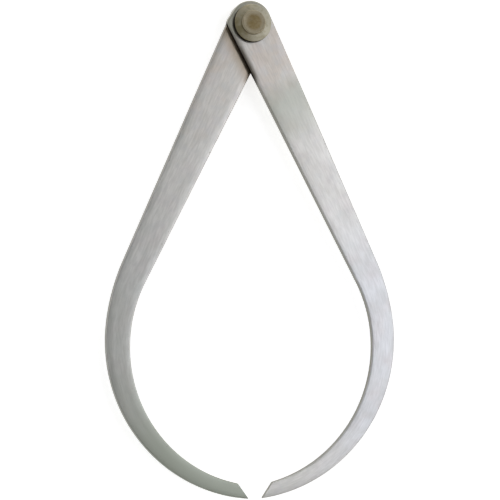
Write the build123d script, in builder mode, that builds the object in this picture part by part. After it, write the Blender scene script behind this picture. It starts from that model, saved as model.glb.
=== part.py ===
"""Firm-joint outside caliper, 300 mm.

Two identical flat steel legs, one turned over, pivot on a rivet with a turned steel washer at
each end and a thin friction washer between the legs. Each leg has a straight, tapered shank that
leans outward, a bow that curves back in to an angled tip, bevelled edges all the way round, and
a slight set towards the other leg, so that both tips meet in one plane. The caliper lies on its
rear rivet head, whose middle is the origin: the joint's axis is +Z and the legs run along -Y.
"""

from build123d import *
import os
from math import atan2, cos, degrees, radians, sin, tan

# Legs, in millimetres and degrees. Angles are measured from the line through pivot and tip.
leg_length = 300.0  # pivot to contact point
leg_thickness = 4.0
rest_angle = 0.88  # each leg's turn away from closed, as the caliper lies
outer_edge_angle = 23.35
outer_edge_run = 173.0  # straight part of the outer edge
shoulder_radius = 133.0  # gentler arc between that straight part and the bow
shoulder_arc_angle = 16.2
inner_edge_angle = 26.7
inner_edge_offset = 14.65  # from the pivot to the line of the inner edge
inner_edge_run = 177.4  # along that line to where the bow starts
tip_width = 12.1
tip_angle = 35.8
edge_bevel = 0.7

# Head of each leg
head_radius = 13.25
head_rise = 1.65  # centre of the head's arc above the pivot
head_flat_angle = 35.0  # flat from the head's arc down to the inner shoulder
inner_shoulder_round = 4.5

# Set of each leg towards the other
set_start = 48.0  # pivot to the middle of the bend
set_radius = 600.0

# Joint
shank_radius = 4.0
running_clearance = 0.05  # radial, between the shank and what it passes through
washer_radius = 12.0
washer_thickness = 3.9  # at the seat under the rivet head
washer_rim = 3.0
washer_rim_bevel = 0.25
seat_margin = 0.3  # flat seat beyond the rivet head
friction_washer_radius = 11.5
friction_washer_thickness = 0.3
front_head_radius = 7.7
front_head_height = 1.9
front_head_round = 0.7
front_head_crown = 0.15  # rise of the head's middle above its edge
rear_head_radius = 7.0
rear_head_height = 1.0
rear_head_bevel = 0.3

# Heights of the stack above the lowest face
rear_leg_base = rear_head_height + washer_thickness
friction_washer_base = rear_leg_base + leg_thickness
front_leg_base = friction_washer_base + friction_washer_thickness
front_washer_base = front_leg_base + leg_thickness
front_head_base = front_washer_base + washer_thickness
front_head_top = front_head_base + front_head_height

bore_radius = shank_radius + running_clearance
tip_set = (leg_thickness + friction_washer_thickness) / 2
set_angle = degrees(atan2(tip_set, leg_length - set_start))
overrun = leg_thickness  # cutting profiles reach this far past what they cut


def along(angle):
    """Unit vector down a leg at that angle, outward of the line through pivot and tip."""
    return Vector(sin(radians(angle)), -cos(radians(angle)))


def outward(angle):
    """Unit vector square to that one, on the leg's outer side."""
    return Vector(cos(radians(angle)), sin(radians(angle)))


def leg_outline():
    """One leg seen square on, with its bore at the origin and its bow on the +X side."""
    head_centre = Vector(0, head_rise)
    outer_start = head_centre + outward(outer_edge_angle) * head_radius
    flat_start = head_centre + outward(180 - head_flat_angle) * head_radius
    contact_point = Vector(0, -leg_length)
    tip_corner = contact_point + Vector(sin(radians(tip_angle)), cos(radians(tip_angle))) * tip_width
    inner_foot = outward(inner_edge_angle) * -inner_edge_offset
    inner_edge_reach = along(inner_edge_angle) * inner_edge_run

    with BuildSketch() as outline:
        with BuildLine():
            outer_edge = Line(outer_start, outer_start + along(outer_edge_angle) * outer_edge_run)
            shoulder = JernArc(outer_edge @ 1, outer_edge % 1, shoulder_radius, -shoulder_arc_angle)
            TangentArc(shoulder @ 1, contact_point, tangent=shoulder % 1)
            Line(contact_point, tip_corner)
            TangentArc(inner_foot + inner_edge_reach, tip_corner, tangent=along(inner_edge_angle))
            inner_line = Line(
                inner_foot - inner_edge_reach, inner_foot + inner_edge_reach, mode=Mode.PRIVATE
            )
            head_flat = IntersectingLine(flat_start, along(-head_flat_angle), inner_line)
            Line(head_flat @ 1, inner_line @ 1)
            CenterArc(
                head_centre, head_radius, outer_edge_angle, 180 - head_flat_angle - outer_edge_angle
            )
        make_face()
        fillet(outline.vertices().sort_by_distance(head_flat @ 1)[0], inner_shoulder_round)
        Circle(bore_radius, mode=Mode.SUBTRACT)
    return outline.sketch


def set_path(height):
    """Side view of the set at one height in the leg: level, a gentle bend, then a slight slope."""
    bend = Vector(-set_start - height * tan(radians(set_angle / 2)), height)
    slope = Vector(-cos(radians(set_angle)), -sin(radians(set_angle)))
    head_end = Vector(head_radius + head_rise + overrun, height)
    tip_end = bend + slope * (leg_length - set_start + overrun)
    return FilletPolyline(head_end, bend, tip_end, radius=set_radius + height)


def make_leg(plane):
    """One leg. The plane lies on the face towards the other leg, and its normal points away."""
    across = Axis(plane.origin, plane.x_dir)
    through = Axis(plane.origin, plane.z_dir)
    contact_point = plane.from_local_coords(Vector(0, -leg_length))

    with BuildPart() as blade:
        with BuildSketch(plane.offset(-overrun)):
            add(leg_outline())
        extrude(amount=leg_thickness + 2 * overrun)
        with BuildSketch(Plane(origin=plane.origin, x_dir=plane.y_dir, z_dir=plane.x_dir)):
            with BuildLine():
                meeting_side = set_path(0)
                outer_side = set_path(leg_thickness)
                Line(meeting_side @ 0, outer_side @ 0)
                Line(meeting_side @ 1, outer_side @ 1)
            make_face()
        extrude(amount=leg_length, both=True, mode=Mode.INTERSECT)

        uprights = blade.faces().filter_by(lambda face: abs(face.normal_at().dot(plane.z_dir)) < 0.5)
        tip_face = uprights.filter_by(GeomType.PLANE).sort_by_distance(contact_point)[0]
        bore = uprights.filter_by(GeomType.CYLINDER).sort_by_distance(plane.origin)[0]
        lengthwise = blade.edges().filter_by(across, reverse=True).filter_by(through, reverse=True)
        chamfer(lengthwise - tip_face.edges() - bore.edges(), edge_bevel)
    return blade


def make_washer(plane, rivet_head_radius):
    """A turned washer: a flat seat for the rivet head, then a shallow cone down to the rim."""
    seat_radius = rivet_head_radius + seat_margin
    with BuildPart() as turned:
        with BuildSketch(Plane(origin=plane.origin, x_dir=plane.x_dir, z_dir=-plane.y_dir)) as section:
            with BuildLine():
                Polyline(
                    (bore_radius, 0),
                    (washer_radius, 0),
                    (washer_radius, washer_rim),
                    (seat_radius, washer_thickness),
                    (bore_radius, washer_thickness),
                    close=True,
                )
            make_face()
            rim_corner = section.vertices().sort_by_distance((washer_radius, washer_rim))[0]
            chamfer(rim_corner, washer_rim_bevel)
        revolve(axis=Axis(plane.origin, plane.z_dir))
    return turned


front_leg_plane = Plane(origin=(0, 0, front_leg_base))
rear_leg_plane = Plane(origin=(0, 0, friction_washer_base), x_dir=(-1, 0, 0), z_dir=(0, 0, -1))
front_leg = make_leg(front_leg_plane.rotated((0, 0, rest_angle)))
rear_leg = make_leg(rear_leg_plane.rotated((0, 0, -rest_angle)))

front_washer_plane = Plane(origin=(0, 0, front_washer_base))
rear_washer_plane = Plane(origin=(0, 0, rear_leg_base), x_dir=(1, 0, 0), z_dir=(0, 0, -1))
front_washer = make_washer(front_washer_plane, front_head_radius)
rear_washer = make_washer(rear_washer_plane, rear_head_radius)

with BuildPart() as friction_washer:
    with BuildSketch(Plane.XY.offset(friction_washer_base)):
        Circle(friction_washer_radius)
        Circle(bore_radius, mode=Mode.SUBTRACT)
    extrude(amount=friction_washer_thickness)

# The rivet is one piece: a plain rear head, the shank, and a front head with a slight crown.
with BuildPart() as rivet:
    crown_middle = Vector(0, front_head_top)
    crown_edge = Vector(front_head_radius, front_head_top - front_head_crown)
    with BuildSketch(Plane.XZ) as rivet_section:
        with BuildLine():
            Polyline(
                crown_middle,
                (0, 0),
                (rear_head_radius, 0),
                (rear_head_radius, rear_head_height),
                (shank_radius, rear_head_height),
                (shank_radius, front_head_base),
                (front_head_radius, front_head_base),
                crown_edge,
            )
            TangentArc(crown_middle, crown_edge, tangent=(1, 0))
        make_face()
        rear_corner = rivet_section.vertices().sort_by_distance((rear_head_radius, 0))[0]
        front_corner = rivet_section.vertices().sort_by_distance(crown_edge)[0]
        chamfer(rear_corner, rear_head_bevel)
        fillet(front_corner, front_head_round)
    revolve(axis=Axis.Z)

front_leg.part.label = "front_leg"
rear_leg.part.label = "rear_leg"
front_washer.part.label = "front_washer"
rear_washer.part.label = "rear_washer"
friction_washer.part.label = "friction_washer"
rivet.part.label = "rivet"

os.makedirs("parts", exist_ok=True)
for piece in (front_leg, rear_leg, front_washer, rear_washer, friction_washer, rivet):
    export_step(piece.part, f"parts/{piece.part.label}.step")
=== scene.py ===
"""Looks for the firm-joint outside caliper: rounded and ground steel legs, turned washers, a
crowned rivet and the fibre washer between the legs, lit by a softbox over the right-hand leg.

The legs are drawn from the same sizes as the solids, and the heights of the stack are read from
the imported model. All lengths are metres and all angles are degrees from the line through pivot
and tip, unless a name says otherwise.
"""

import bmesh
import bpy
import numpy as np
from mathutils import Matrix, Vector


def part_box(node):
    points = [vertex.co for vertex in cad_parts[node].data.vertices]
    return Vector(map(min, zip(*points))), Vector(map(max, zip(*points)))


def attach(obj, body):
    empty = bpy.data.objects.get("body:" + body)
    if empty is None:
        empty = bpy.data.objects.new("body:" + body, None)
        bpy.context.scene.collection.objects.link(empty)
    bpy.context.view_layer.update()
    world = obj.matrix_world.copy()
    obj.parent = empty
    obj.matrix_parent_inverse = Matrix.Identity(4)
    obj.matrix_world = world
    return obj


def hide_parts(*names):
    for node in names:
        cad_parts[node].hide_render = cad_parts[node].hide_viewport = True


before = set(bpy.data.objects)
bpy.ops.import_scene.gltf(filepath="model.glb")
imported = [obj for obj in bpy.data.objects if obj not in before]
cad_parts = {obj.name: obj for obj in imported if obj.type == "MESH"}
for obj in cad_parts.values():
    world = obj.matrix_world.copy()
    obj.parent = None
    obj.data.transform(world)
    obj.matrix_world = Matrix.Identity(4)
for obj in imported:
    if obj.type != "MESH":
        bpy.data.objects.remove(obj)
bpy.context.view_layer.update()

mm = 0.001

# Leg outline
leg_length = 300.0 * mm
rest_angle = 0.88
outer_edge_angle = 23.35
outer_edge_run = 173.0 * mm
shoulder_radius = 133.0 * mm
shoulder_arc_angle = 16.2
inner_edge_angle = 26.7
inner_edge_offset = 14.65 * mm
inner_edge_run = 177.4 * mm
tip_width = 12.1 * mm
tip_angle = 35.8
head_radius = 13.25 * mm
head_rise = 1.65 * mm
head_flat_angle = 35.0
inner_shoulder_round = 4.5 * mm
bore_radius = 4.05 * mm
set_start = 48.0 * mm
set_bend = 2.5 * mm  # half the length of the gentle bend

# Edges of a leg: the ground face falls away softly before the rounded corner
edge_radius = 0.8 * mm
soft_edge_width = 4.5 * mm
soft_edge_share = 0.9  # most of the half width that it takes up where the leg is narrow
soft_edge_drop = 0.13 * mm
head_edge_drop = 0.18 * mm  # the same at the head, which is rubbed more
head_edge_end = 45.0 * mm  # where that has faded out
tip_lean_run = 14.0 * mm  # length beside the tip over which the edge turns to follow the tip face

# Joint
washer_rim = 3.0 * mm
washer_foot_round = 0.35 * mm
washer_rim_round = 0.4 * mm
washer_seat_round = 0.5 * mm
seat_margin = 0.3 * mm
shank_radius = 4.0 * mm
front_head_round = 0.75 * mm
front_head_foot_round = 0.15 * mm
rear_head_radius = 7.0 * mm
rear_head_round = 0.35 * mm
crown_fall = 0.11 * mm  # from the middle of the rivet's head to the shallow ring inside its lip
crown_radius = 5.7 * mm  # of that ring
lip_rise = 0.05 * mm
lip_inset = 0.9 * mm  # crest of the lip, in from the head's edge

# Steps that the surfaces are drawn with
shank_steps = 80
shoulder_steps = 18
bow_steps = 90
outer_neck_steps = 8
head_steps = 48
head_flat_steps = 4
inner_shoulder_steps = 16
inner_neck_steps = 10
core_steps = 5  # from a leg's core line to its soft edge
edge_steps = 8  # down the soft edge, and as many round the corner
edge_crowding = 1.2  # above 1, it draws the soft edge's steps towards the corner
round_steps = 6
crown_steps = 13
lip_steps = 9
turned_steps = 160
merge_distance = 0.002 * mm
shortest_edge = 0.0001 * mm
sharp_angle = 35.0
turned_sharp_angle = 28.0

# How far each leg turns to a darker, greener grey along its length: a share, where it starts and where it is
# whole
rear_darkening = ((0.22, 150 * mm, 205 * mm), (0.78, 220 * mm, 300 * mm))
front_darkening = ((0.6, 30 * mm, 50 * mm), (-0.6, 50 * mm, 90 * mm))

# Brown oil stain and painted shadow on the meeting face, beside the other leg
oil_and_shadow_width = 9.5 * mm  # from the other leg's inner edge
oil_and_shadow_heights = (0.3 * mm, 1.0 * mm)  # whole below the first, gone above the second

# Noise values between which a mark goes from dark to light
streak_tones = (0.32, 0.68)
ring_tones = (0.3, 0.7)

# Leg finish, along the leg from the bore's edge: where each effect starts and where it is whole
cool_start = (110 * mm, 190 * mm)
cool_end = (330 * mm, 260 * mm)
warm_run = (110 * mm, 10 * mm)
stain_and_shade_run = (5 * mm, -8 * mm)
crevice_low_end = (33 * mm, 25 * mm)
crevice_high_end = (-12.5 * mm, -9.5 * mm)
edge_shade_run = (-10 * mm, 12 * mm)

# Leg finish across the leg, in from its edge, and up from its meeting face
cool_side = (-20 * mm, 40 * mm)
inner_side_from = (-2 * mm, -6 * mm)
sheared_band = (0.30 * mm, 0.02 * mm)
speck_band = (3.5 * mm, 0.8 * mm)
speck_clear_band = (0.2 * mm, 1.1 * mm)
edge_shade_band = (3.8 * mm, 0.3 * mm)
# heights over which the painted shade on the wall in the crevice thins towards the wall's top
crevice_shade_heights = (4.0 * mm, 2.4 * mm)

# Leg finish: colours. A pair is for the darkest and the lightest of the broad bands
leg_grey = ((0.600, 0.598, 0.568), (0.665, 0.662, 0.634))
# bluish tint painted in for the cool light
leg_cool_light_tint = ((0.580, 0.594, 0.602), (0.648, 0.664, 0.682))
leg_warm = (0.615, 0.560, 0.500)
leg_rosy = (0.66, 0.60, 0.60)
leg_streak = (0.84, 0.84, 0.835)  # multiplied in
leg_blotch = (0.49, 0.51, 0.50)
leg_darker_green = (0.385, 0.412, 0.352)
# brown oil stain with painted shadow beside the other leg
leg_oil_and_shadow = (0.40, 0.325, 0.235)
# olive staining round the joint, partly painted shade from the washer
leg_stain_and_shade = (0.405, 0.398, 0.325)
# dark brown painted shade on the face along the edge by the crevice
painted_edge_shade = (0.105, 0.085, 0.058)
leg_wall = (0.27, 0.265, 0.235)
head_wall = (0.48, 0.47, 0.42)  # where the head's olive staining and painted shade lie
# near-black painted shade on the wall in the crevice between the legs
painted_crevice_shade = (0.014, 0.009, 0.005)
leg_speck = (0.15, 0.125, 0.10)
leg_roughness = 0.283  # least; thin contour lines show where it crosses 0.274
fine_depth = 0.0013 * mm  # of the fine lines' bumps
broad_depth = 0.010 * mm  # of the broad bands'

# Leg finish: how strongly each effect shows, where 1 hides what is under it
cool_least = 0.3  # towards -X
warm_far = 0.10
warm_near = 0.90
warm_between = 0.45  # share of those between the patches
rosy_strength = 0.28
fine_strength = 0.22
short_strength = 0.78
blotch_strength = 0.34
oil_and_shadow_strength = 0.82
stain_and_shade_strength = 0.85
edge_shade_strength = 0.85
edge_shade_at_head = 0.15  # share of that
crevice_shade_at_top = 0.86
speck_strength = 0.8
speck_on_corner = 0.15  # share of that

# Washer finish. Places along the profile start at the foot of the bore. The brown patina and the
# painted shade each have one strength between the patches and a further one in them
rim_wall_radii = (11.85 * mm, 11.99 * mm)
rim_top_run = (9.5 * mm, 11.1 * mm)
brown_side = (6 * mm, -9 * mm)  # along X
washer_shade_side = (4 * mm, -12 * mm)  # along X plus Y
# the washers' rims are near-black with painted shade towards this direction
rim_shade_direction = (-0.8, -0.6)
rim_shade_span = (-6.0 * mm, -1.0 * mm)  # along that direction
brown_between = 0.45
brown_in_patches = 0.5
washer_shade_between = 0.3
washer_shade_in_patches = 0.7
washer_shade_range = (0.08, 0.90)  # from the lit side to the side in painted shade
spot_strength = 0.45
rim_spot_strength = 0.5
washer_olive = ((0.415, 0.39, 0.305), (0.48, 0.455, 0.37))
washer_brown = (0.43, 0.37, 0.235)
# painted shade on the washer's face towards -X and -Y
washer_painted_shade = (0.235, 0.205, 0.12)
washer_spot = (0.27, 0.25, 0.165)
rim_oxide_and_foot_shade = ((0.060, 0.050, 0.034), (0.270, 0.245, 0.185))  # dark oxide, darker towards the foot as painted shade; foot and top
# near-black painted shade on the rim towards -X and -Y, foot and top
rim_painted_dark_side = ((0.012, 0.009, 0.005), (0.052, 0.042, 0.027))
rim_spot = (0.030, 0.024, 0.016)
washer_roughness = 0.36
washer_ring_depth = 0.016 * mm
polish_depth = 0.004 * mm
washer_spot_depth = 0.004 * mm

# Rivet and fibre finishes
rivet_inside_radii = (6.3 * mm, 3.8 * mm)
rivet_olive = ((0.312, 0.272, 0.186), (0.378, 0.337, 0.242))
rivet_brown = (0.228, 0.172, 0.078)
rivet_spot = (0.17, 0.13, 0.07)
rivet_brown_between = 0.6
rivet_brown_in_patches = 0.35
rivet_spot_strength = 0.3
rivet_roughness = 0.38
rivet_ring_depth = 0.014 * mm
rivet_spot_depth = 0.005 * mm
fibre_red = ((0.17, 0.085, 0.05), (0.125, 0.06, 0.035))
fibre_fleck = (0.08, 0.045, 0.03)
fleck_strength = 0.4
fleck_depth = 0.012 * mm
fibre_roughness = 0.7

# Photograph's frame, in pixels, and where the camera stood
frame_pixels = 500
principal_point = (254.28, 260.05)
focal_pixels = 1427.7
camera_place = Vector((-0.25111, -0.18737, 0.87667))
camera_aim = Vector((0.0, -0.15016, 0.0132))
camera_roll = 0.614
camera_clip = (0.01, 20.0)
sensor = 36.0

# Floor and studio light, where 1 shows as white
floor_half_width = 12.0
floor_colour = 0.85
floor_fill = 0.60
world_low = 0.95
world_high = 0.30
world_fade = (0.15, 0.75)  # sine of the height above the horizon where one gives way to the other
lamp_distance = 3.0


def level(node, end):
    """Height of a node's lowest (0) or highest (1) face."""
    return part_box(node)[end].z


def leg_thickness():
    """Height between the friction washer and the front washer, which the front leg fills."""
    return level("front_washer", 0) - level("friction_washer", 1)


def along(angle):
    """Unit vector down a leg at that angle, outward of the line through pivot and tip."""
    return np.array([np.sin(np.radians(angle)), -np.cos(np.radians(angle))])


def outward(angle):
    """Unit vector square to that one, on the leg's outer side."""
    return np.array([np.cos(np.radians(angle)), np.sin(np.radians(angle))])


def down_shank():
    """Unit vector down the middle of the shank."""
    return along((outer_edge_angle + inner_edge_angle) / 2)


def left_of(direction):
    """The direction turned a quarter turn anticlockwise, row by row."""
    return np.stack([-direction[..., 1], direction[..., 0]], axis=-1)


def smooth_step(value, low, high):
    """0 up to low and 1 from high, with 3 t^2 - 2 t^3 between them."""
    t = np.clip((value - low) / (high - low), 0, 1)
    return t * t * (3 - 2 * t)


def travelled(points):
    """Distance of each point from the first, along the line of points."""
    return np.concatenate([[0], np.cumsum(np.linalg.norm(np.diff(points, axis=0), axis=1))])


def straight(start, end, steps):
    """Points and headings of a straight run: start + t (end - start)."""
    t = np.linspace(0, 1, steps + 1)[:, None]
    heading = (end - start) / np.linalg.norm(end - start)
    return start + t * (end - start), np.repeat(heading[None], steps + 1, axis=0)


def arc(centre, start, sweep, steps):
    """Points and headings of an arc: the start turned about the centre by t times the sweep."""
    angle = np.radians(np.linspace(0, sweep, steps + 1))
    spoke = start - centre
    across = left_of(spoke)
    points = centre + np.cos(angle)[:, None] * spoke + np.sin(angle)[:, None] * across
    headings = left_of(points - centre) * np.sign(sweep) / np.linalg.norm(spoke)
    return points, headings


def arc_to(start, heading, end, steps):
    """The arc that leaves start with that heading and passes through end. Its signed radius is the
    chord squared over twice the chord's part square to the heading."""
    chord = end - start
    side = left_of(heading)
    radius = chord @ chord / (2 * chord @ side)
    sweep = 2 * np.degrees(np.arctan2(chord @ side, chord @ heading))
    return arc(start + side * radius, start, sweep, steps)


def joined(*runs):
    """Runs of points and headings laid end to end, without their doubled ends."""
    points = np.concatenate([runs[0][0]] + [run[0][1:] for run in runs[1:]])
    headings = np.concatenate([runs[0][1]] + [run[1][1:] for run in runs[1:]])
    return points, headings


def backwards(run):
    """The same run, followed from its other end."""
    return run[0][::-1], -run[1][::-1]


def leg_edges():
    """The leg's outline as three runs: outer side from tip to head, round the head, and inner side
    from head to tip. Both sides have as many points, so that they pair up across the leg."""
    head_centre = np.array([0.0, head_rise])
    outer_start = head_centre + outward(outer_edge_angle) * head_radius
    outer_end = outer_start + along(outer_edge_angle) * outer_edge_run
    contact_point = np.array([0.0, -leg_length])
    tip_corner = contact_point - along(-tip_angle) * tip_width
    inner_heading = along(inner_edge_angle)
    inner_foot = outward(inner_edge_angle) * -inner_edge_offset
    inner_end = inner_foot + inner_heading * inner_edge_run
    flat_heading = along(-head_flat_angle)
    flat_start = head_centre + outward(180 - head_flat_angle) * head_radius

    # Where the head's flat meets the line of the inner edge, then the round between them
    meeting = np.stack([flat_heading, -inner_heading], axis=1)
    corner = flat_start + flat_heading * np.linalg.solve(meeting, inner_foot - flat_start)[0]
    turn = head_flat_angle + inner_edge_angle
    tangent_length = inner_shoulder_round * np.tan(np.radians(turn / 2))
    round_start = corner - flat_heading * tangent_length
    round_end = corner + inner_heading * tangent_length
    round_centre = round_start + left_of(flat_heading) * inner_shoulder_round

    # The sides pair up from two bore radii down the shank
    abreast = 2 * bore_radius
    outer_neck = outer_start + along(outer_edge_angle) * (abreast - outer_start @ down_shank())
    inner_neck = inner_foot + inner_heading * abreast

    shoulder_centre = outer_end - outward(outer_edge_angle) * shoulder_radius
    shoulder = arc(shoulder_centre, outer_end, -shoulder_arc_angle, shoulder_steps)
    bow = arc_to(shoulder[0][-1], shoulder[1][-1], contact_point, bow_steps)
    outer_side = joined(straight(outer_neck, outer_end, shank_steps), shoulder, bow)
    inner_bow = arc_to(inner_end, inner_heading, tip_corner, shoulder_steps + bow_steps)
    inner_side = joined(straight(inner_neck, inner_end, shank_steps), inner_bow)
    head = joined(
        straight(outer_neck, outer_start, outer_neck_steps),
        arc(head_centre, outer_start, 180 - head_flat_angle - outer_edge_angle, head_steps),
        straight(flat_start, round_start, head_flat_steps),
        arc(round_centre, round_start, turn, inner_shoulder_steps),
        straight(round_end, inner_neck, inner_neck_steps),
    )
    return backwards(outer_side), head, inner_side


def edge_section():
    """Distance in from the edge and height of the section's points, from the upper face over the edge
    to the lower face. The face falls by drop (1 - d / width)^2, the corner is a quarter round that
    takes over at the same slope, and the wall is upright."""
    half = leg_thickness() / 2
    tilt = np.arctan(2 * soft_edge_drop / soft_edge_width * (1 - edge_radius / soft_edge_width))
    d_round = edge_radius * (1 - np.sin(tilt))
    d_share = np.linspace(1, 0, edge_steps + 1)[:-1] ** edge_crowding
    d_soft = d_round + (soft_edge_width - d_round) * d_share
    face = half - soft_edge_drop * (1 - d_soft / soft_edge_width) ** 2
    z_round = half - soft_edge_drop * (1 - d_round / soft_edge_width) ** 2 - edge_radius * np.cos(tilt)
    turn = np.linspace(tilt, np.pi / 2, edge_steps + 1)
    distance = np.concatenate([d_soft, edge_radius * (1 - np.sin(turn))])
    height = np.concatenate([face, z_round + edge_radius * np.cos(turn)])
    upper = np.stack([distance, height], axis=1)
    wall = np.array([[0.0, z_round / 2], [0.0, 0.0], [0.0, -z_round / 2]])
    return np.concatenate([upper, wall, upper[::-1] * [1, -1]])


def core_line(outer_side, head, inner_side):
    """The middle of the leg from tip to bore, and the whole core line: down the middle to the bore,
    once round it in step with the outline of the head, and back to the tip."""
    middle = (outer_side[0] + inner_side[0][::-1]) / 2
    spoke = down_shank() * bore_radius
    middle[-1] = spoke
    bearing = np.unwrap(np.arctan2(head[0][:, 1], head[0][:, 0]))
    angle = np.radians(360 * (bearing - bearing[0]) / (bearing[-1] - bearing[0]))
    round_bore = np.cos(angle)[:, None] * spoke + np.sin(angle)[:, None] * left_of(spoke)
    return middle, np.concatenate([middle, round_bore[1:-1], middle[::-1]])


def inward_lines(path, headings):
    """Direction in from each point of the outline: square to it, and leaning over near the tip by a
    share that falls off as (1 - s / run)^2, so that the rings end on the angled tip face."""
    inward = left_of(headings)
    tip_line = (path[-1] - path[0]) / np.linalg.norm(path[-1] - path[0])
    outer_lean = (tip_line @ headings[0]) / (tip_line @ inward[0])
    inner_lean = (tip_line @ headings[-1]) / (tip_line @ inward[-1])
    s = travelled(path)
    lean = outer_lean * np.clip(1 - s / tip_lean_run, 0, 1) ** 2
    lean += inner_lean * np.clip(1 - (s[-1] - s) / tip_lean_run, 0, 1) ** 2
    return inward + headings * lean[:, None]


def leg_surface():
    """One leg as grids of points in its own frame: bore at the origin, bow towards +X, z from 0 on the
    face towards the other leg. Rows run from a core line over the edge to the core line again, and
    columns run round the outline. The core line goes down the middle of the leg from the bore."""
    half = leg_thickness() / 2
    outer_side, head, inner_side = leg_edges()
    path, headings = joined(outer_side, head, inner_side)
    side_count, head_count = len(outer_side[0]), len(head[0])
    middle, core = core_line(outer_side, head, inner_side)
    inward = left_of(headings)

    # Where the leg is narrow the soft edge takes up only a share of each half
    section = edge_section()
    half_width = np.abs(np.sum((core - path) * inward, axis=1))
    width = np.minimum(soft_edge_width, soft_edge_share * half_width)
    narrowed = (width - edge_radius) / (soft_edge_width - edge_radius)
    distance = section[:, :1] + np.clip(section[:, :1] - edge_radius, 0, None) * (narrowed - 1)
    rings = path[None] + distance[..., None] * inward_lines(path, headings)[None]
    share = np.linspace(0, 1, core_steps + 1)[:-1, None, None]
    upper = core[None] + share * (rings[0] - core)[None]
    plan = np.concatenate([upper, rings, upper[::-1]])
    face = np.full((core_steps, len(path)), half)
    z = np.concatenate([face, np.repeat(section[:, 1:], len(path), axis=1), -face])

    # How far along the leg each point lies, and how far from its middle, for the ground streaks
    station = travelled(middle[::-1])
    run = np.concatenate([station[::-1], np.zeros(head_count - 2), station])
    run = np.repeat(run[None], len(plan), axis=0)
    across = np.sum((plan - core[None]) * -inward[None], axis=2)
    across[:, side_count + head_count - 2:] *= -1
    bore_columns = slice(side_count, side_count + head_count - 2)
    run[:, bore_columns] = plan[:, bore_columns] @ down_shank() - bore_radius
    across[:, bore_columns] = plan[:, bore_columns] @ left_of(down_shank())
    inside = np.full(core_steps, section[0, 0])
    from_edge = np.concatenate([inside, section[:, 0], inside])
    from_edge = np.repeat(from_edge[:, None], len(path), axis=1)

    # The soft edge is deeper at the head, and the wall is squeezed by as much
    deeper = (head_edge_drop - soft_edge_drop) * (1 - smooth_step(run, 0, head_edge_end))
    softness = np.clip(1 - from_edge / soft_edge_width, 0, 1) ** 2
    wall_half = half - soft_edge_drop - edge_radius
    z -= np.clip(z / wall_half, -1, 1) * deeper * softness
    return plan, z + half, run, across, from_edge, (side_count, head_count)


def set_drop(y):
    """How far the set carries a point towards the other leg: nothing up to the bend, then a straight
    slope, with a parabola between them."""
    friction_half = (level("friction_washer", 1) - level("friction_washer", 0)) / 2
    slope = (leg_thickness() / 2 + friction_half) / (leg_length - set_start)
    past = -y - set_start
    bend = np.clip(past + set_bend, 0, 2 * set_bend) ** 2 / (4 * set_bend)
    return slope * (bend + np.clip(past - set_bend, 0, None))


def grid_faces(rows, columns, closed=False):
    """Quads of a grid of points, row by row; closed joins the last column to the first."""
    steps = columns if closed else columns - 1
    row, column = np.meshgrid(np.arange(rows - 1), np.arange(steps), indexing="ij")
    here = row * columns + column
    beside = row * columns + (column + 1) % columns
    return np.stack([here, beside, beside + columns, here + columns], axis=-1).reshape(-1, 4)


def make_piece(name, points, faces, uv, masks, body, material, sharp=sharp_angle):
    """A mesh from points and quads, its doubled points merged and its sharp corners marked. Masks are
    named numbers per point, which its material reads."""
    mesh = bpy.data.meshes.new(name)
    mesh.from_pydata(points.tolist(), [], faces.tolist())
    layer = mesh.uv_layers.new(name="grain")
    corners = np.empty(len(mesh.loops), dtype=np.int32)
    mesh.loops.foreach_get("vertex_index", corners)
    layer.data.foreach_set("uv", uv[corners].astype(np.float32).ravel())
    for mask, values in masks.items():
        attribute = mesh.attributes.new(mask, "FLOAT", "POINT")
        attribute.data.foreach_set("value", values.astype(np.float32))
    work = bmesh.new()
    work.from_mesh(mesh)
    bmesh.ops.remove_doubles(work, verts=work.verts, dist=merge_distance)
    bmesh.ops.dissolve_degenerate(work, edges=work.edges, dist=shortest_edge)
    bmesh.ops.recalc_face_normals(work, faces=work.faces)
    for face in work.faces:
        face.smooth = True
    for edge in work.edges:
        if len(edge.link_faces) == 2 and edge.calc_face_angle() > np.radians(sharp):
            edge.smooth = False
    work.to_mesh(mesh)
    work.free()
    piece = bpy.data.objects.new(name, mesh)
    bpy.context.scene.collection.objects.link(piece)
    mesh.materials.append(material)
    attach(piece, body)
    return piece


def darkening_along_leg(run, side):
    """How far the leg turns to a darker, greener grey along its length, in smooth steps: the rear leg
    towards its tip, and the front leg just below the joint."""
    steps = front_darkening if side > 0 else rear_darkening
    return sum(share * smooth_step(run, start, whole) for share, start, whole in steps)


def oil_and_shadow_beside(plan, z):
    """Brown oil stain and painted shadow on the meeting face beside the other leg: one at that leg's
    inner edge, falling to nothing over the set width in a smooth step, and nothing above the lower corner."""
    beyond = plan @ outward(-inner_edge_angle - 2 * rest_angle) - inner_edge_offset
    on_face = 1 - smooth_step(z, *oil_and_shadow_heights)
    return on_face * (1 - smooth_step(beyond, 0.0, oil_and_shadow_width))


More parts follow.
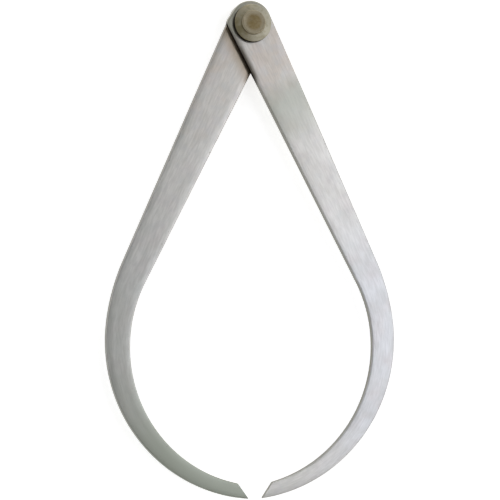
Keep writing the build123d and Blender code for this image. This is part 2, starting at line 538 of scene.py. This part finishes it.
def make_leg(name, node, body, side, material):
    """One leg in place. side is 1 for the front leg and -1 for the rear one, which is the same leg turned
    over about the Y axis."""
    plan, z, run, across, from_edge, (side_count, head_count) = leg_surface()
    rows, columns = z.shape
    points = np.concatenate([plan, z[..., None]], axis=2).reshape(-1, 3)

    # Tip face, from the last column to the first over the rows of the edge, and the wall of the bore,
    # between the first and last rows round it
    first = np.arange(core_steps, rows - core_steps) * columns
    last = first + columns - 1
    tip_face = np.stack([first[:-1], first[1:], last[1:], last[:-1]], axis=1)
    ring = np.arange(side_count - 1, side_count + head_count - 1)
    lower = ring + (rows - 1) * columns
    bore_wall = np.stack([ring[:-1], ring[1:], lower[1:], lower[:-1]], axis=1)
    faces = np.concatenate([grid_faces(rows, columns), tip_face, bore_wall])

    points[:, 2] -= set_drop(points[:, 1])
    base = level("friction_washer", 1) if side > 0 else level("friction_washer", 0)
    turn = np.radians(rest_angle * side)
    x, y = points[:, 0] * side, points[:, 1]
    placed = np.stack(
        [
            x * np.cos(turn) - y * np.sin(turn),
            x * np.sin(turn) + y * np.cos(turn),
            base + side * points[:, 2],
        ],
        axis=1,
    )
    uv = np.stack([run.ravel(), across.ravel()], axis=1)
    masks = {
        "edge_distance": from_edge.ravel(),
        "height": z.ravel(),
        "darkening_along_leg": darkening_along_leg(run.ravel(), side),
        "oil_and_shadow": oil_and_shadow_beside(plan, z).ravel(),
    }
    piece = make_piece(name, placed, faces, uv, masks, body, material)
    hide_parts(node)


def rounded(profile, corners):
    """A closed or open profile with some of its corners rounded: corners maps a point's number to its
    radius. Each round is an arc between its tangent points, whose spokes are blended by the sines of
    their shares of the angle between them."""
    out = []
    count = len(profile)
    for i, point in enumerate(profile):
        if i not in corners:
            out.append(point[None])
            continue
        before, after = profile[i - 1] - point, profile[(i + 1) % count] - point
        before, after = before / np.linalg.norm(before), after / np.linalg.norm(after)
        half = np.arccos(np.clip(before @ after, -1, 1)) / 2
        reach = corners[i] / np.tan(half)
        bisector = (before + after) / np.linalg.norm(before + after)
        centre = point + bisector * corners[i] / np.sin(half)
        start, end = point + before * reach - centre, point + after * reach - centre
        t = np.linspace(0, 1, round_steps + 1)[:, None]
        whole = np.arccos(np.clip(start @ end / corners[i] ** 2, -1, 1))
        turning = np.sin((1 - t) * whole) * start + np.sin(t * whole) * end
        out.append(centre + turning / np.sin(whole))
    return np.concatenate(out)


def make_turned(name, node, profile, material, axis_closed=False):
    """A turned piece of the joint: its profile of radii and heights carried once round the joint's
    axis, and closed on itself or at the axis."""
    if not axis_closed:
        profile = np.concatenate([profile, profile[:1]])
    angle = np.linspace(0, 2 * np.pi, turned_steps, endpoint=False)
    radius, height = profile[:, :1], profile[:, 1:]
    points = np.stack([radius * np.cos(angle), radius * np.sin(angle), height + 0 * angle], axis=2)
    points = points.reshape(-1, 3)
    faces = grid_faces(len(profile), turned_steps, closed=True)
    uv = np.stack([travelled(profile), profile[:, 0]], axis=1).repeat(turned_steps, axis=0)
    piece = make_piece(name, points, faces, uv, {}, "rear_half", material, turned_sharp_angle)
    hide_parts(node)


def washer_profile(node, rivet_head_radius, side):
    """Half section of a washer: flat base against the leg, upright rim with broken corners, shallow cone,
    and the flat seat of the rivet head."""
    low, high = level(node, 0), level(node, 1)
    base, top = (low, high) if side > 0 else (high, low)
    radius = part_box(node)[1].x
    corners = np.array([
        [bore_radius, base],
        [radius, base],
        [radius, base + side * washer_rim],
        [rivet_head_radius + seat_margin, top],
        [bore_radius, top],
    ])
    return rounded(corners, {1: washer_foot_round, 2: washer_rim_round, 3: washer_seat_round})


def rivet_profile():
    """Half section of the rivet, from the middle of its front head round to the middle of the rear one.
    From the middle the crown falls by its fall times sin^2 to a shallow ring, and from there the head
    rises by the lip's rise times sin^2 to the crest of the lip, which rolls over to the upright edge."""
    top, bottom = level("rivet", 1), level("rivet", 0)
    seat, rear_seat = level("front_washer", 1), level("rear_washer", 0)
    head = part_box("rivet")[1].x
    crest = head - lip_inset
    inner = np.linspace(0, crown_radius, crown_steps + 1)
    outer = np.linspace(crown_radius, crest, lip_steps + 1)[1:]
    lip_share = (outer - crown_radius) / (crest - crown_radius)
    fall = np.concatenate([
        crown_fall * np.sin(np.pi / 2 * inner / crown_radius) ** 2,
        crown_fall - lip_rise * np.sin(np.pi / 2 * lip_share) ** 2,
    ])
    crown = np.stack([np.concatenate([inner, outer]), top - fall], axis=1)
    corners = np.array([
        crown[-1],
        [head, crown[-1, 1]],
        [head, seat],
        [shank_radius, seat],
        [shank_radius, rear_seat],
        [rear_head_radius, rear_seat],
        [rear_head_radius, bottom],
        [0, bottom],
    ])
    edge = rounded(corners, {1: front_head_round, 2: front_head_foot_round, 6: rear_head_round})
    return np.concatenate([crown, edge[1:]])


def fibre_profile():
    """Half section of the fibre washer."""
    low, high = level("friction_washer", 0), level("friction_washer", 1)
    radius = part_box("friction_washer")[1].x
    return np.array([[bore_radius, low], [radius, low], [radius, high], [bore_radius, high]])


def add(tree, kind, settings=None, values=None):
    """A shader node with its settings and its unlinked inputs' values."""
    node = tree.nodes.new("ShaderNode" + kind)
    for name, value in (settings or {}).items():
        setattr(node, name, value)
    for name, value in (values or {}).items():
        node.inputs[name].default_value = value
    return node


def feed(tree, value, socket):
    """Links a socket or sets a plain value."""
    if isinstance(value, bpy.types.NodeSocket):
        tree.links.new(value, socket)
    else:
        socket.default_value = value


def calculate(tree, operation, *values):
    """Values worked together by Math nodes, the first with the second, the result with the third and
    so on."""
    result = values[0]
    for value in values[1:]:
        node = add(tree, "Math", {"operation": operation})
        feed(tree, result, node.inputs[0])
        feed(tree, value, node.inputs[1])
        result = node.outputs[0]
    return result


def times(tree, *values):
    """The product of the values."""
    return calculate(tree, "MULTIPLY", *values)


def weighted(tree, *parts, base=None):
    """The sum of values times their weights, and of a base value."""
    terms = [times(tree, value, weight) for value, weight in parts]
    return calculate(tree, "ADD", *terms, *([] if base is None else [base]))


def remap(tree, value, low, high, to_low=0.0, to_high=1.0):
    """A smooth step from one value to another as the input goes from low to high."""
    node = add(tree, "MapRange", {"interpolation_type": "SMOOTHSTEP"})
    inputs = {"Value": value, "From Min": low, "From Max": high, "To Min": to_low, "To Max": to_high}
    for name, given in inputs.items():
        feed(tree, given, node.inputs[name])
    return node.outputs["Result"]


def blend_colours(tree, factor, first, second, kind="MIX"):
    """The colour part of the way from the first to the second."""
    node = add(tree, "Mix", {"data_type": "RGBA", "blend_type": kind})
    feed(tree, factor, node.inputs["Factor"])
    for value, socket in ((first, node.inputs[6]), (second, node.inputs[7])):
        feed(tree, (*value, 1.0) if isinstance(value, tuple) else value, socket)
    return node.outputs[2]


def layered(tree, colour, *layers):
    """A colour with others laid over it in turn, each by its own mask."""
    for mask, over in layers:
        colour = blend_colours(tree, mask, colour, over)
    return colour


def noise(tree, vector, scale, detail, roughness):
    """Fractal noise, around one half."""
    node = add(tree, "TexNoise", {"noise_dimensions": "3D"}, {"Detail": detail, "Roughness": roughness})
    feed(tree, scale, node.inputs["Scale"])
    tree.links.new(vector, node.inputs["Vector"])
    return node.outputs[0]


def axes(tree, vector):
    """A vector's X, Y and Z."""
    parts = add(tree, "SeparateXYZ")
    tree.links.new(vector, parts.inputs[0])
    return parts.outputs


def object_place(tree):
    """Where a point lies in its object, in metres."""
    return add(tree, "TexCoord").outputs["Object"]


def grain_map(tree):
    """Metres along a leg from its bore and across it, or along a turned profile and out from its axis."""
    return add(tree, "UVMap", {"uv_map": "grain"}).outputs[0]


def mesh_mask(tree, name):
    """One of a piece's own masks."""
    return add(tree, "Attribute", {"attribute_name": name}).outputs["Fac"]


def new_group(name, inputs, outputs):
    """An empty node group with named number and vector sockets."""
    group = bpy.data.node_groups.new(name, "ShaderNodeTree")
    for label, kind, value in inputs:
        socket = group.interface.new_socket(name=label, in_out="INPUT", socket_type="NodeSocket" + kind)
        if kind == "Float":
            socket.default_value = value
    for label in outputs:
        group.interface.new_socket(name=label, in_out="OUTPUT", socket_type="NodeSocketFloat")
    return group, group.nodes.new("NodeGroupInput").outputs, group.nodes.new("NodeGroupOutput").inputs


def use_group(tree, group, **values):
    """A group placed in a material with its own values."""
    node = tree.nodes.new("ShaderNodeGroup")
    node.node_tree = group
    for name, value in values.items():
        feed(tree, value, node.inputs[name])
    return node.outputs


def streaks_group():
    """Marks drawn out along X of the vector: noise whose cells are as long and wide as asked."""
    inputs = [("Vector", "Vector", None), ("Length", "Float", 0.02), ("Width", "Float", 0.001)]
    tree, given, result = new_group("drawn_streaks", inputs, ["Height", "Tone"])
    stretch = add(tree, "CombineXYZ")
    tree.links.new(calculate(tree, "DIVIDE", 1.0, given["Length"]), stretch.inputs["X"])
    tree.links.new(calculate(tree, "DIVIDE", 1.0, given["Width"]), stretch.inputs["Y"])
    scaled = add(tree, "VectorMath", {"operation": "MULTIPLY"})
    tree.links.new(given["Vector"], scaled.inputs[0])
    tree.links.new(stretch.outputs[0], scaled.inputs[1])
    height = noise(tree, scaled.outputs[0], scale=1.0, detail=2.0, roughness=0.5)
    tree.links.new(height, result["Height"])
    tree.links.new(remap(tree, height, *streak_tones), result["Tone"])
    return tree


def rings_group():
    """Turning marks: one-dimensional noise along the turned profile."""
    inputs = [("Distance", "Float", 0.0), ("Width", "Float", 0.0003)]
    tree, given, result = new_group("turning_rings", inputs, ["Height", "Tone"])
    values = {"Scale": 1.0, "Detail": 2.0, "Roughness": 0.65}
    rings = add(tree, "TexNoise", {"noise_dimensions": "1D"}, values)
    tree.links.new(calculate(tree, "DIVIDE", given["Distance"], given["Width"]), rings.inputs["W"])
    tree.links.new(rings.outputs[0], result["Height"])
    tree.links.new(remap(tree, rings.outputs[0], *ring_tones), result["Tone"])
    return tree


def mottling_group():
    """Patches of the size asked, with their share set by low and high."""
    inputs = [("Vector", "Vector", None), ("Size", "Float", 0.01)]
    inputs += [("Low", "Float", 0.4), ("High", "Float", 0.6)]
    tree, given, result = new_group("mottling", inputs, ["Mask"])
    scale = calculate(tree, "DIVIDE", 1.0, given["Size"])
    cloud = noise(tree, given["Vector"], scale, detail=4.0, roughness=0.55)
    tree.links.new(remap(tree, cloud, given["Low"], given["High"]), result["Mask"])
    return tree


def bare_material(name, metallic):
    """A new material with its tree and its shader."""
    material = bpy.data.materials.new(name)
    material.use_nodes = True
    tree = material.node_tree
    shader = tree.nodes["Principled BSDF"]
    shader.inputs["Metallic"].default_value = metallic
    return material, tree, shader


def finish_surface(tree, shader, colour, roughness, heights):
    """Puts the colour and roughness on the shader, and heights in metres, added up, on its normal."""
    tree.links.new(colour, shader.inputs["Base Color"])
    tree.links.new(roughness, shader.inputs["Roughness"])
    bump = add(tree, "Bump", None, {"Strength": 1.0, "Distance": 1.0})
    tree.links.new(weighted(tree, *heights), bump.inputs["Height"])
    tree.links.new(bump.outputs[0], shader.inputs["Normal"])


def ground_leg_steel(streaks, mottling):
    """Surface-ground steel: fine lines and broader bands along the leg, faint warm and rosy patches, a
    bluish tint painted in for the cool light, a few dark specks by the edges, duller sheared edges,
    near-black painted shade on the wall in the crevice between the legs and painted shade on the face
    along it, a brown oil stain with painted shadow beside the other leg, olive staining round the
    joint that is partly painted shade, and a darker, greener grey in places along the leg."""
    material, tree, shader = bare_material("leg_steel_ground", 1.0)
    place, grain = object_place(tree), grain_map(tree)
    run, across = axes(tree, grain)[:2]
    fine = use_group(tree, streaks, Vector=grain, Length=0.022, Width=0.00026)
    broad = use_group(tree, streaks, Vector=grain, Length=0.032, Width=0.0030)
    short = use_group(tree, streaks, Vector=grain, Length=0.0075, Width=0.0011)
    patches = use_group(tree, mottling, Vector=place, Size=0.017, Low=0.42, High=0.62)["Mask"]
    rosy = use_group(tree, mottling, Vector=place, Size=0.011, Low=0.46, High=0.66)["Mask"]
    blotches = use_group(tree, mottling, Vector=place, Size=0.0055, Low=0.45, High=0.68)["Mask"]
    specks = use_group(tree, mottling, Vector=place, Size=0.0011, Low=0.66, High=0.72)["Mask"]
    edge = mesh_mask(tree, "edge_distance")
    sheared = remap(tree, edge, *sheared_band)

    # Bands, patches and streaks of the ground face, and a bluish tint painted in for the cool light
    grey = blend_colours(tree, broad["Tone"], *leg_grey)
    cool = blend_colours(tree, broad["Tone"], *leg_cool_light_tint)
    cool_light_share = times(tree, remap(tree, run, *cool_start), remap(tree, run, *cool_end),
                   remap(tree, axes(tree, place)["X"], *cool_side, cool_least, 1.0))
    warm = times(tree, remap(tree, patches, 0.0, 1.0, warm_between, 1.0),
                 remap(tree, run, *warm_run, warm_far, warm_near))
    rosier = times(tree, rosy, rosy_strength)
    colour = layered(tree, grey, (cool_light_share, cool), (warm, leg_warm), (rosier, leg_rosy))
    darker = weighted(tree, (fine["Tone"], fine_strength), (short["Tone"], short_strength))
    colour = blend_colours(tree, darker, colour, leg_streak, kind="MULTIPLY")

    # Olive staining round the washer on the head's own side, partly painted shade, and the crevice on the
    # inner side below it
    stain_and_shade = times(tree, remap(tree, run, *stain_and_shade_run), stain_and_shade_strength)
    crevice = times(tree, remap(tree, run, *crevice_low_end), remap(tree, across, *inner_side_from),
                    remap(tree, run, *crevice_high_end))
    # Painted shade on the face, deepening towards the edge beside the crevice
    edge_shade = times(tree, crevice, remap(tree, edge, *edge_shade_band, 0.0, edge_shade_strength),
                  remap(tree, run, *edge_shade_run, edge_shade_at_head, 1.0))
    # Painted shade: the sheared wall in the crevice near-black, a little less so at its top
    crevice_shade = times(tree, sheared, crevice,
                 remap(tree, mesh_mask(tree, "height"), *crevice_shade_heights, crevice_shade_at_top, 1.0))
    spotted = times(tree, specks, remap(tree, edge, *speck_band), speck_strength,
                    remap(tree, edge, *speck_clear_band, speck_on_corner, 1.0))
    colour = layered(
        tree, colour,
        (times(tree, blotches, blotch_strength), leg_blotch),
        (mesh_mask(tree, "darkening_along_leg"), leg_darker_green),
        (times(tree, mesh_mask(tree, "oil_and_shadow"), oil_and_shadow_strength), leg_oil_and_shadow),
        (stain_and_shade, leg_stain_and_shade),
        (edge_shade, painted_edge_shade),
        (sheared, blend_colours(tree, stain_and_shade, leg_wall, head_wall)),
        (crevice_shade, painted_crevice_shade),
        (spotted, leg_speck),
    )

    rough = weighted(tree, (broad["Tone"], 0.04), (patches, 0.03), (sheared, 0.25), (crevice_shade, 0.50),
                     (spotted, 0.3), base=leg_roughness)
    bumps = [(fine["Height"], fine_depth), (broad["Height"], broad_depth)]
    finish_surface(tree, shader, colour, rough, bumps)
    return material


def turned_washer_steel(rings, mottling):
    """Turned steel: concentric tool marks under an uneven olive and brown patina, browner towards -X,
    with painted shade on the face towards -X and -Y, and a dark oxide rim that painted shade darkens
    towards its foot and makes near-black on that side."""
    material, tree, shader = bare_material("washer_steel_turned", 1.0)
    place = object_place(tree)
    distance, radius = axes(tree, grain_map(tree))[:2]
    x, y = axes(tree, place)[:2]
    cut = use_group(tree, rings, Distance=distance, Width=0.00042)
    polish = use_group(tree, rings, Distance=distance, Width=0.00013)
    patches = use_group(tree, mottling, Vector=place, Size=0.0065, Low=0.40, High=0.60)["Mask"]
    spots = use_group(tree, mottling, Vector=place, Size=0.0024, Low=0.48, High=0.66)["Mask"]

    browned = times(tree, remap(tree, x, *brown_side),
                    weighted(tree, (patches, brown_in_patches), base=brown_between))
    # Patchy painted shade on the face towards -X and -Y
    washer_shade_mask = times(tree, weighted(tree, (patches, washer_shade_in_patches), base=washer_shade_between),
                    remap(tree, calculate(tree, "ADD", x, y), *washer_shade_side, *washer_shade_range))
    # The rim: dark oxide with painted shade towards its foot, and near-black painted shade towards -X and -Y
    rim = remap(tree, radius, *rim_wall_radii)
    rim_top = remap(tree, distance, *rim_top_run)
    rim_shaded_side = remap(tree, weighted(tree, (x, rim_shade_direction[0]), (y, rim_shade_direction[1])), *rim_shade_span)
    rim_base_colour = blend_colours(tree, rim_top, *rim_oxide_and_foot_shade)
    rim_shaded_colour = blend_colours(tree, rim_top, *rim_painted_dark_side)
    rim_spotted = times(tree, spots, rim_spot_strength)
    rim_colour = layered(tree, rim_base_colour, (rim_shaded_side, rim_shaded_colour), (rim_spotted, rim_spot))
    colour = layered(
        tree, blend_colours(tree, cut["Tone"], *washer_olive),
        (browned, washer_brown),
        (washer_shade_mask, washer_painted_shade),
        (times(tree, spots, spot_strength), washer_spot),
        (rim, rim_colour),
    )

    rough = weighted(tree, (cut["Tone"], 0.08), (patches, 0.08), (times(tree, rim, rim_shaded_side), 0.60),
                     base=washer_roughness)
    bumps = [(cut["Height"], washer_ring_depth), (polish["Height"], polish_depth), (spots, washer_spot_depth)]
    finish_surface(tree, shader, colour, rough, bumps)
    return material


def browned_rivet_steel(rings, mottling):
    """Turned steel, worn lighter on the lip and browned inside it."""
    material, tree, shader = bare_material("rivet_steel_browned", 1.0)
    place = object_place(tree)
    distance, radius = axes(tree, grain_map(tree))[:2]
    cut = use_group(tree, rings, Distance=distance, Width=0.0005)
    patches = use_group(tree, mottling, Vector=place, Size=0.005, Low=0.35, High=0.62)["Mask"]
    spots = use_group(tree, mottling, Vector=place, Size=0.0015, Low=0.5, High=0.66)["Mask"]
    inside = remap(tree, radius, *rivet_inside_radii)

    browned = times(tree, inside, weighted(tree, (patches, rivet_brown_in_patches), base=rivet_brown_between))
    colour = layered(
        tree, blend_colours(tree, cut["Tone"], *rivet_olive),
        (browned, rivet_brown),
        (times(tree, spots, rivet_spot_strength), rivet_spot),
    )
    rough = weighted(tree, (cut["Tone"], 0.07), (patches, 0.08), base=rivet_roughness)
    bumps = [(cut["Height"], rivet_ring_depth), (spots, rivet_spot_depth)]
    finish_surface(tree, shader, colour, rough, bumps)
    return material


def dull_fibre(mottling):
    """Pressed fibre: brownish red with a fine fleck."""
    material, tree, shader = bare_material("fibre_dull", 0.0)
    place = object_place(tree)
    patches = use_group(tree, mottling, Vector=place, Size=0.003, Low=0.35, High=0.65)["Mask"]
    fleck = use_group(tree, mottling, Vector=place, Size=0.0006, Low=0.4, High=0.6)["Mask"]
    red = blend_colours(tree, patches, *fibre_red)
    colour = layered(tree, red, (times(tree, fleck, fleck_strength), fibre_fleck))
    rough = weighted(tree, (fleck, 0.15), base=fibre_roughness)
    finish_surface(tree, shader, colour, rough, [(fleck, fleck_depth)])
    return material


def make_floor():
    """A plain pale floor under the caliper. It shows white to the camera and in reflections, and keeps
    the caliper's shadow because part of its light is the studio's."""
    mesh = bpy.data.meshes.new("floor")
    half = floor_half_width
    corners = [(-half, -half, 0), (half, -half, 0), (half, half, 0), (-half, half, 0)]
    mesh.from_pydata(corners, [], [(0, 1, 2, 3)])
    floor = bpy.data.objects.new("floor", mesh)
    bpy.context.scene.collection.objects.link(floor)
    material, tree, shader = bare_material("floor_white", 0.0)
    shader.inputs["Base Color"].default_value = (floor_colour, floor_colour, floor_colour, 1)
    shader.inputs["Roughness"].default_value = 1.0
    shader.inputs["Specular IOR Level"].default_value = 0.0
    shader.inputs["Emission Color"].default_value = (1, 1, 1, 1)
    ray = add(tree, "LightPath").outputs
    seen = calculate(tree, "ADD", ray["Is Camera Ray"], ray["Is Glossy Ray"], ray["Is Transmission Ray"])
    tree.links.new(times(tree, seen, floor_fill), shader.inputs["Emission Strength"])
    mesh.materials.append(material)


def make_world():
    """Plain studio light from all round: pale near the floor and greyer overhead."""
    world = bpy.data.worlds.new("studio")
    bpy.context.scene.world = world
    world.use_nodes = True
    tree = world.node_tree
    background = tree.nodes["Background"]
    upward = axes(tree, add(tree, "TexCoord").outputs["Generated"])["Z"]
    strength = remap(tree, upward, *world_fade, world_low, world_high)
    tree.links.new(strength, background.inputs["Strength"])
    background.inputs["Color"].default_value = (1, 1, 1, 1)


def stand(thing, place, right, up, back):
    """Puts an object in the scene at a place, with those three as its axes."""
    thing.matrix_world = Matrix.Translation(place) @ Matrix((right, up, back)).transposed().to_4x4()
    bpy.context.scene.collection.objects.link(thing)


def softbox(name, right, headward, width, height, radiance, tint=(1.0, 1.0, 1.0)):
    """A rectangular lamp seen from the caliper's middle in a direction so many degrees right of the
    vertical and so many towards its head. Its power is pi times its area times how bright it looks."""
    lamp = bpy.data.lights.new(name, "AREA")
    lamp.shape = "RECTANGLE"
    lamp.size = width
    lamp.size_y = height
    lamp.energy = np.pi * width * height * radiance
    lamp.color = tint
    direction = Vector((np.tan(np.radians(right)), np.tan(np.radians(headward)), 1.0)).normalized()
    across = Vector((0, 1, 0)).cross(direction).normalized()
    middle = Vector((0.0, -leg_length / 2, 0.0))
    holder = bpy.data.objects.new(name, lamp)
    stand(holder, middle + direction * lamp_distance, across, direction.cross(across), direction)


def make_camera():
    """The photograph's camera: above and to the left of the caliper, looking down at it."""
    lens = bpy.data.cameras.new("camera")
    lens.sensor_width = sensor
    lens.lens = focal_pixels / frame_pixels * sensor
    lens.shift_x = 0.5 - principal_point[0] / frame_pixels
    lens.shift_y = principal_point[1] / frame_pixels - 0.5
    lens.clip_start, lens.clip_end = camera_clip
    camera = bpy.data.objects.new("camera", lens)
    back = (camera_place - camera_aim).normalized()
    right = Vector((0, 1, 0)).cross(back).normalized()
    up = back.cross(right)
    turn = Matrix.Rotation(-np.radians(camera_roll), 3, back)
    stand(camera, camera_place, turn @ right, turn @ up, back)
    bpy.context.scene.camera = camera


streaks = streaks_group()
rings = rings_group()
mottling = mottling_group()
leg_steel = ground_leg_steel(streaks, mottling)
washer_steel = turned_washer_steel(rings, mottling)
rivet_steel = browned_rivet_steel(rings, mottling)
fibre = dull_fibre(mottling)

front_washer_profile = washer_profile("front_washer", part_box("rivet")[1].x, 1)
rear_washer_profile = washer_profile("rear_washer", rear_head_radius, -1)
make_leg("front_leg_rounded", "front_leg", "front_half", 1, leg_steel)
make_leg("rear_leg_rounded", "rear_leg", "rear_half", -1, leg_steel)
make_turned("front_washer_turned", "front_washer", front_washer_profile, washer_steel)
make_turned("rear_washer_turned", "rear_washer", rear_washer_profile, washer_steel)
make_turned("rivet_crowned", "rivet", rivet_profile(), rivet_steel, axis_closed=True)
make_turned("friction_washer_fibre", "friction_washer", fibre_profile(), fibre)

make_floor()
softbox("main_softbox", right=23.5, headward=2.0, width=0.74, height=1.75, radiance=1.62,
        tint=(0.98, 0.98, 1.06))
softbox("feather_softbox", right=12.0, headward=4.0, width=0.55, height=2.4, radiance=0.20,
        tint=(0.98, 1.01, 0.93))
softbox("side_softbox", right=50.0, headward=0.0, width=1.7, height=4.2, radiance=0.70)
softbox("left_softbox", right=-40.0, headward=25.0, width=1.4, height=2.4, radiance=0.35)
softbox("head_softbox", right=25.0, headward=64.0, width=2.0, height=1.0, radiance=1.6)
make_world()
make_camera()
bpy.context.scene.view_settings.view_transform = "Standard"

bpy.context.view_layer.update()
